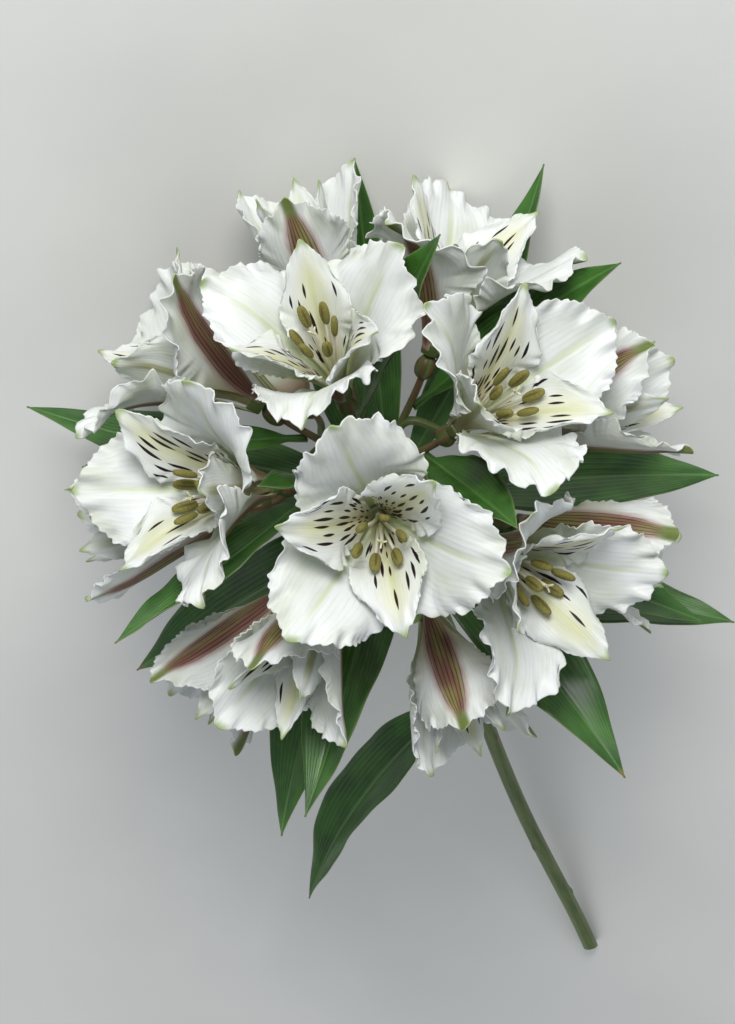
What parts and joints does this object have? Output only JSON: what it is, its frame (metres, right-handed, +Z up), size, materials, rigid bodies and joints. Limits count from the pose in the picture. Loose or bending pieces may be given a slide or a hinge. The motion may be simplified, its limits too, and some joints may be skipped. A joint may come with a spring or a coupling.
{
  "type": "alstroemeria stem",
  "caption": "Cut alstroemeria stem lying on its side, with an umbel of white frilled blooms, a whorl of pointed leaves and a slender green stem.",
  "frame": {"origin": "centre of the stem's box on the surface it lies on", "axes": "+Z up from the surface, +Y along the stem from its cut end to its blooms"},
  "size_m": [0.2164, 0.4034, 0.1627],
  "materials": {
    "stem": "smooth olive green skin",
    "leaf": "waxy dark green leaf",
    "tepals": "white petal",
    "stamens": "dusty olive anthers on pale filaments"
  },
  "bodies": {
    "root": {"stem": "stem", "bloom_01_tepals": "tepals", "bloom_01_stamens": "stamens", "bloom_02_tepals": "tepals", "bloom_02_stamens": "stamens", "bloom_03_tepals": "tepals", "bloom_03_stamens": "stamens", "bloom_04_tepals": "tepals", "bloom_04_stamens": "stamens", "bloom_05_tepals": "tepals", "bloom_05_stamens": "stamens", "bloom_06_tepals": "tepals", "bloom_06_stamens": "stamens", "bloom_07_tepals": "tepals", "bloom_07_stamens": "stamens", "bloom_08_tepals": "tepals", "bloom_08_stamens": "stamens", "bloom_09_tepals": "tepals", "bloom_09_stamens": "stamens", "bloom_10_tepals": "tepals", "bloom_10_stamens": "stamens", "bloom_11_tepals": "tepals", "bloom_11_stamens": "stamens", "bloom_12_tepals": "tepals", "bloom_12_stamens": "stamens", "bloom_13_tepals": "tepals", "bloom_13_stamens": "stamens", "bloom_14_tepals": "tepals", "bloom_14_stamens": "stamens", "bloom_15_tepals": "tepals", "bloom_16_tepals": "tepals", "leaf_01": "leaf", "leaf_02": "leaf", "leaf_03": "leaf", "leaf_04": "leaf", "leaf_05": "leaf", "leaf_06": "leaf", "leaf_07": "leaf", "leaf_08": "leaf", "leaf_09": "leaf", "leaf_10": "leaf", "leaf_11": "leaf", "leaf_12": "leaf", "leaf_13": "leaf", "bract_01": "leaf", "bract_02": "leaf", "bract_03": "leaf", "bract_04": "leaf", "bract_05": "leaf", "bract_06": "leaf"}
  },
  "joints": []
}
